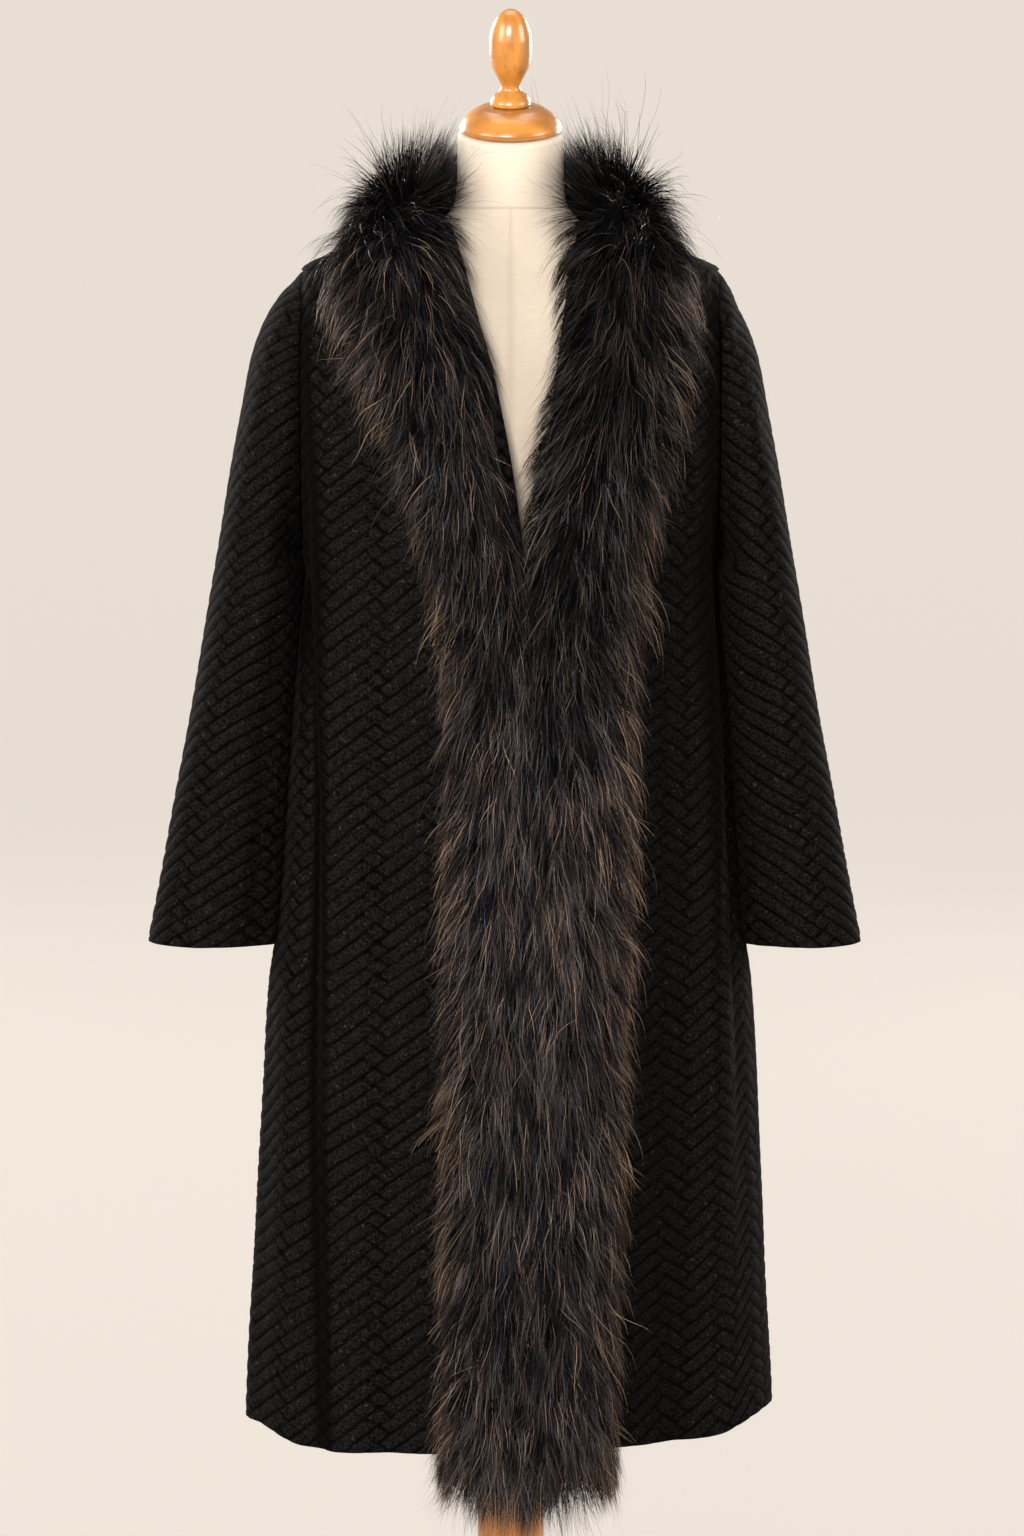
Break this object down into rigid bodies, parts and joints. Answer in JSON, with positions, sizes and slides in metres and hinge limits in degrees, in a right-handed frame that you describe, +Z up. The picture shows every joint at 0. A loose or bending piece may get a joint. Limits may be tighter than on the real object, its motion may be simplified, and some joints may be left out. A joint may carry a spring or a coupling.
{
  "type": "fur-trimmed wool coat on a limbless dress form with a turned wooden stand",
  "caption": "Long quilted wool coat with a fur shawl collar and fur front edges, worn by a limbless dress form with a wooden neck cap, finial, column and round base.",
  "frame": {"origin": "floor centre, on the underside of the stand's round base", "axes": "+Z up the stand's column, -Y the way the coat's front faces, +X towards the wearer's left side"},
  "size_m": [0.7338, 0.4309, 1.683],
  "materials": {
    "wool": "matt black wool boucle, quilted in a brick-like herringbone",
    "fur": "long black fur with brown guard hairs",
    "calico": "smooth cream calico",
    "wood": "varnished honey-coloured wood"
  },
  "bodies": {
    "root": {"front_right": "wool", "front_left": "wool", "back": "wool", "sleeve_right": "wool", "sleeve_left": "wool", "fur_right": "fur", "fur_left": "fur", "dress_form": "calico", "neck_cap": "wood", "finial": "wood", "column": "wood", "base": "wood"}
  },
  "joints": []
}
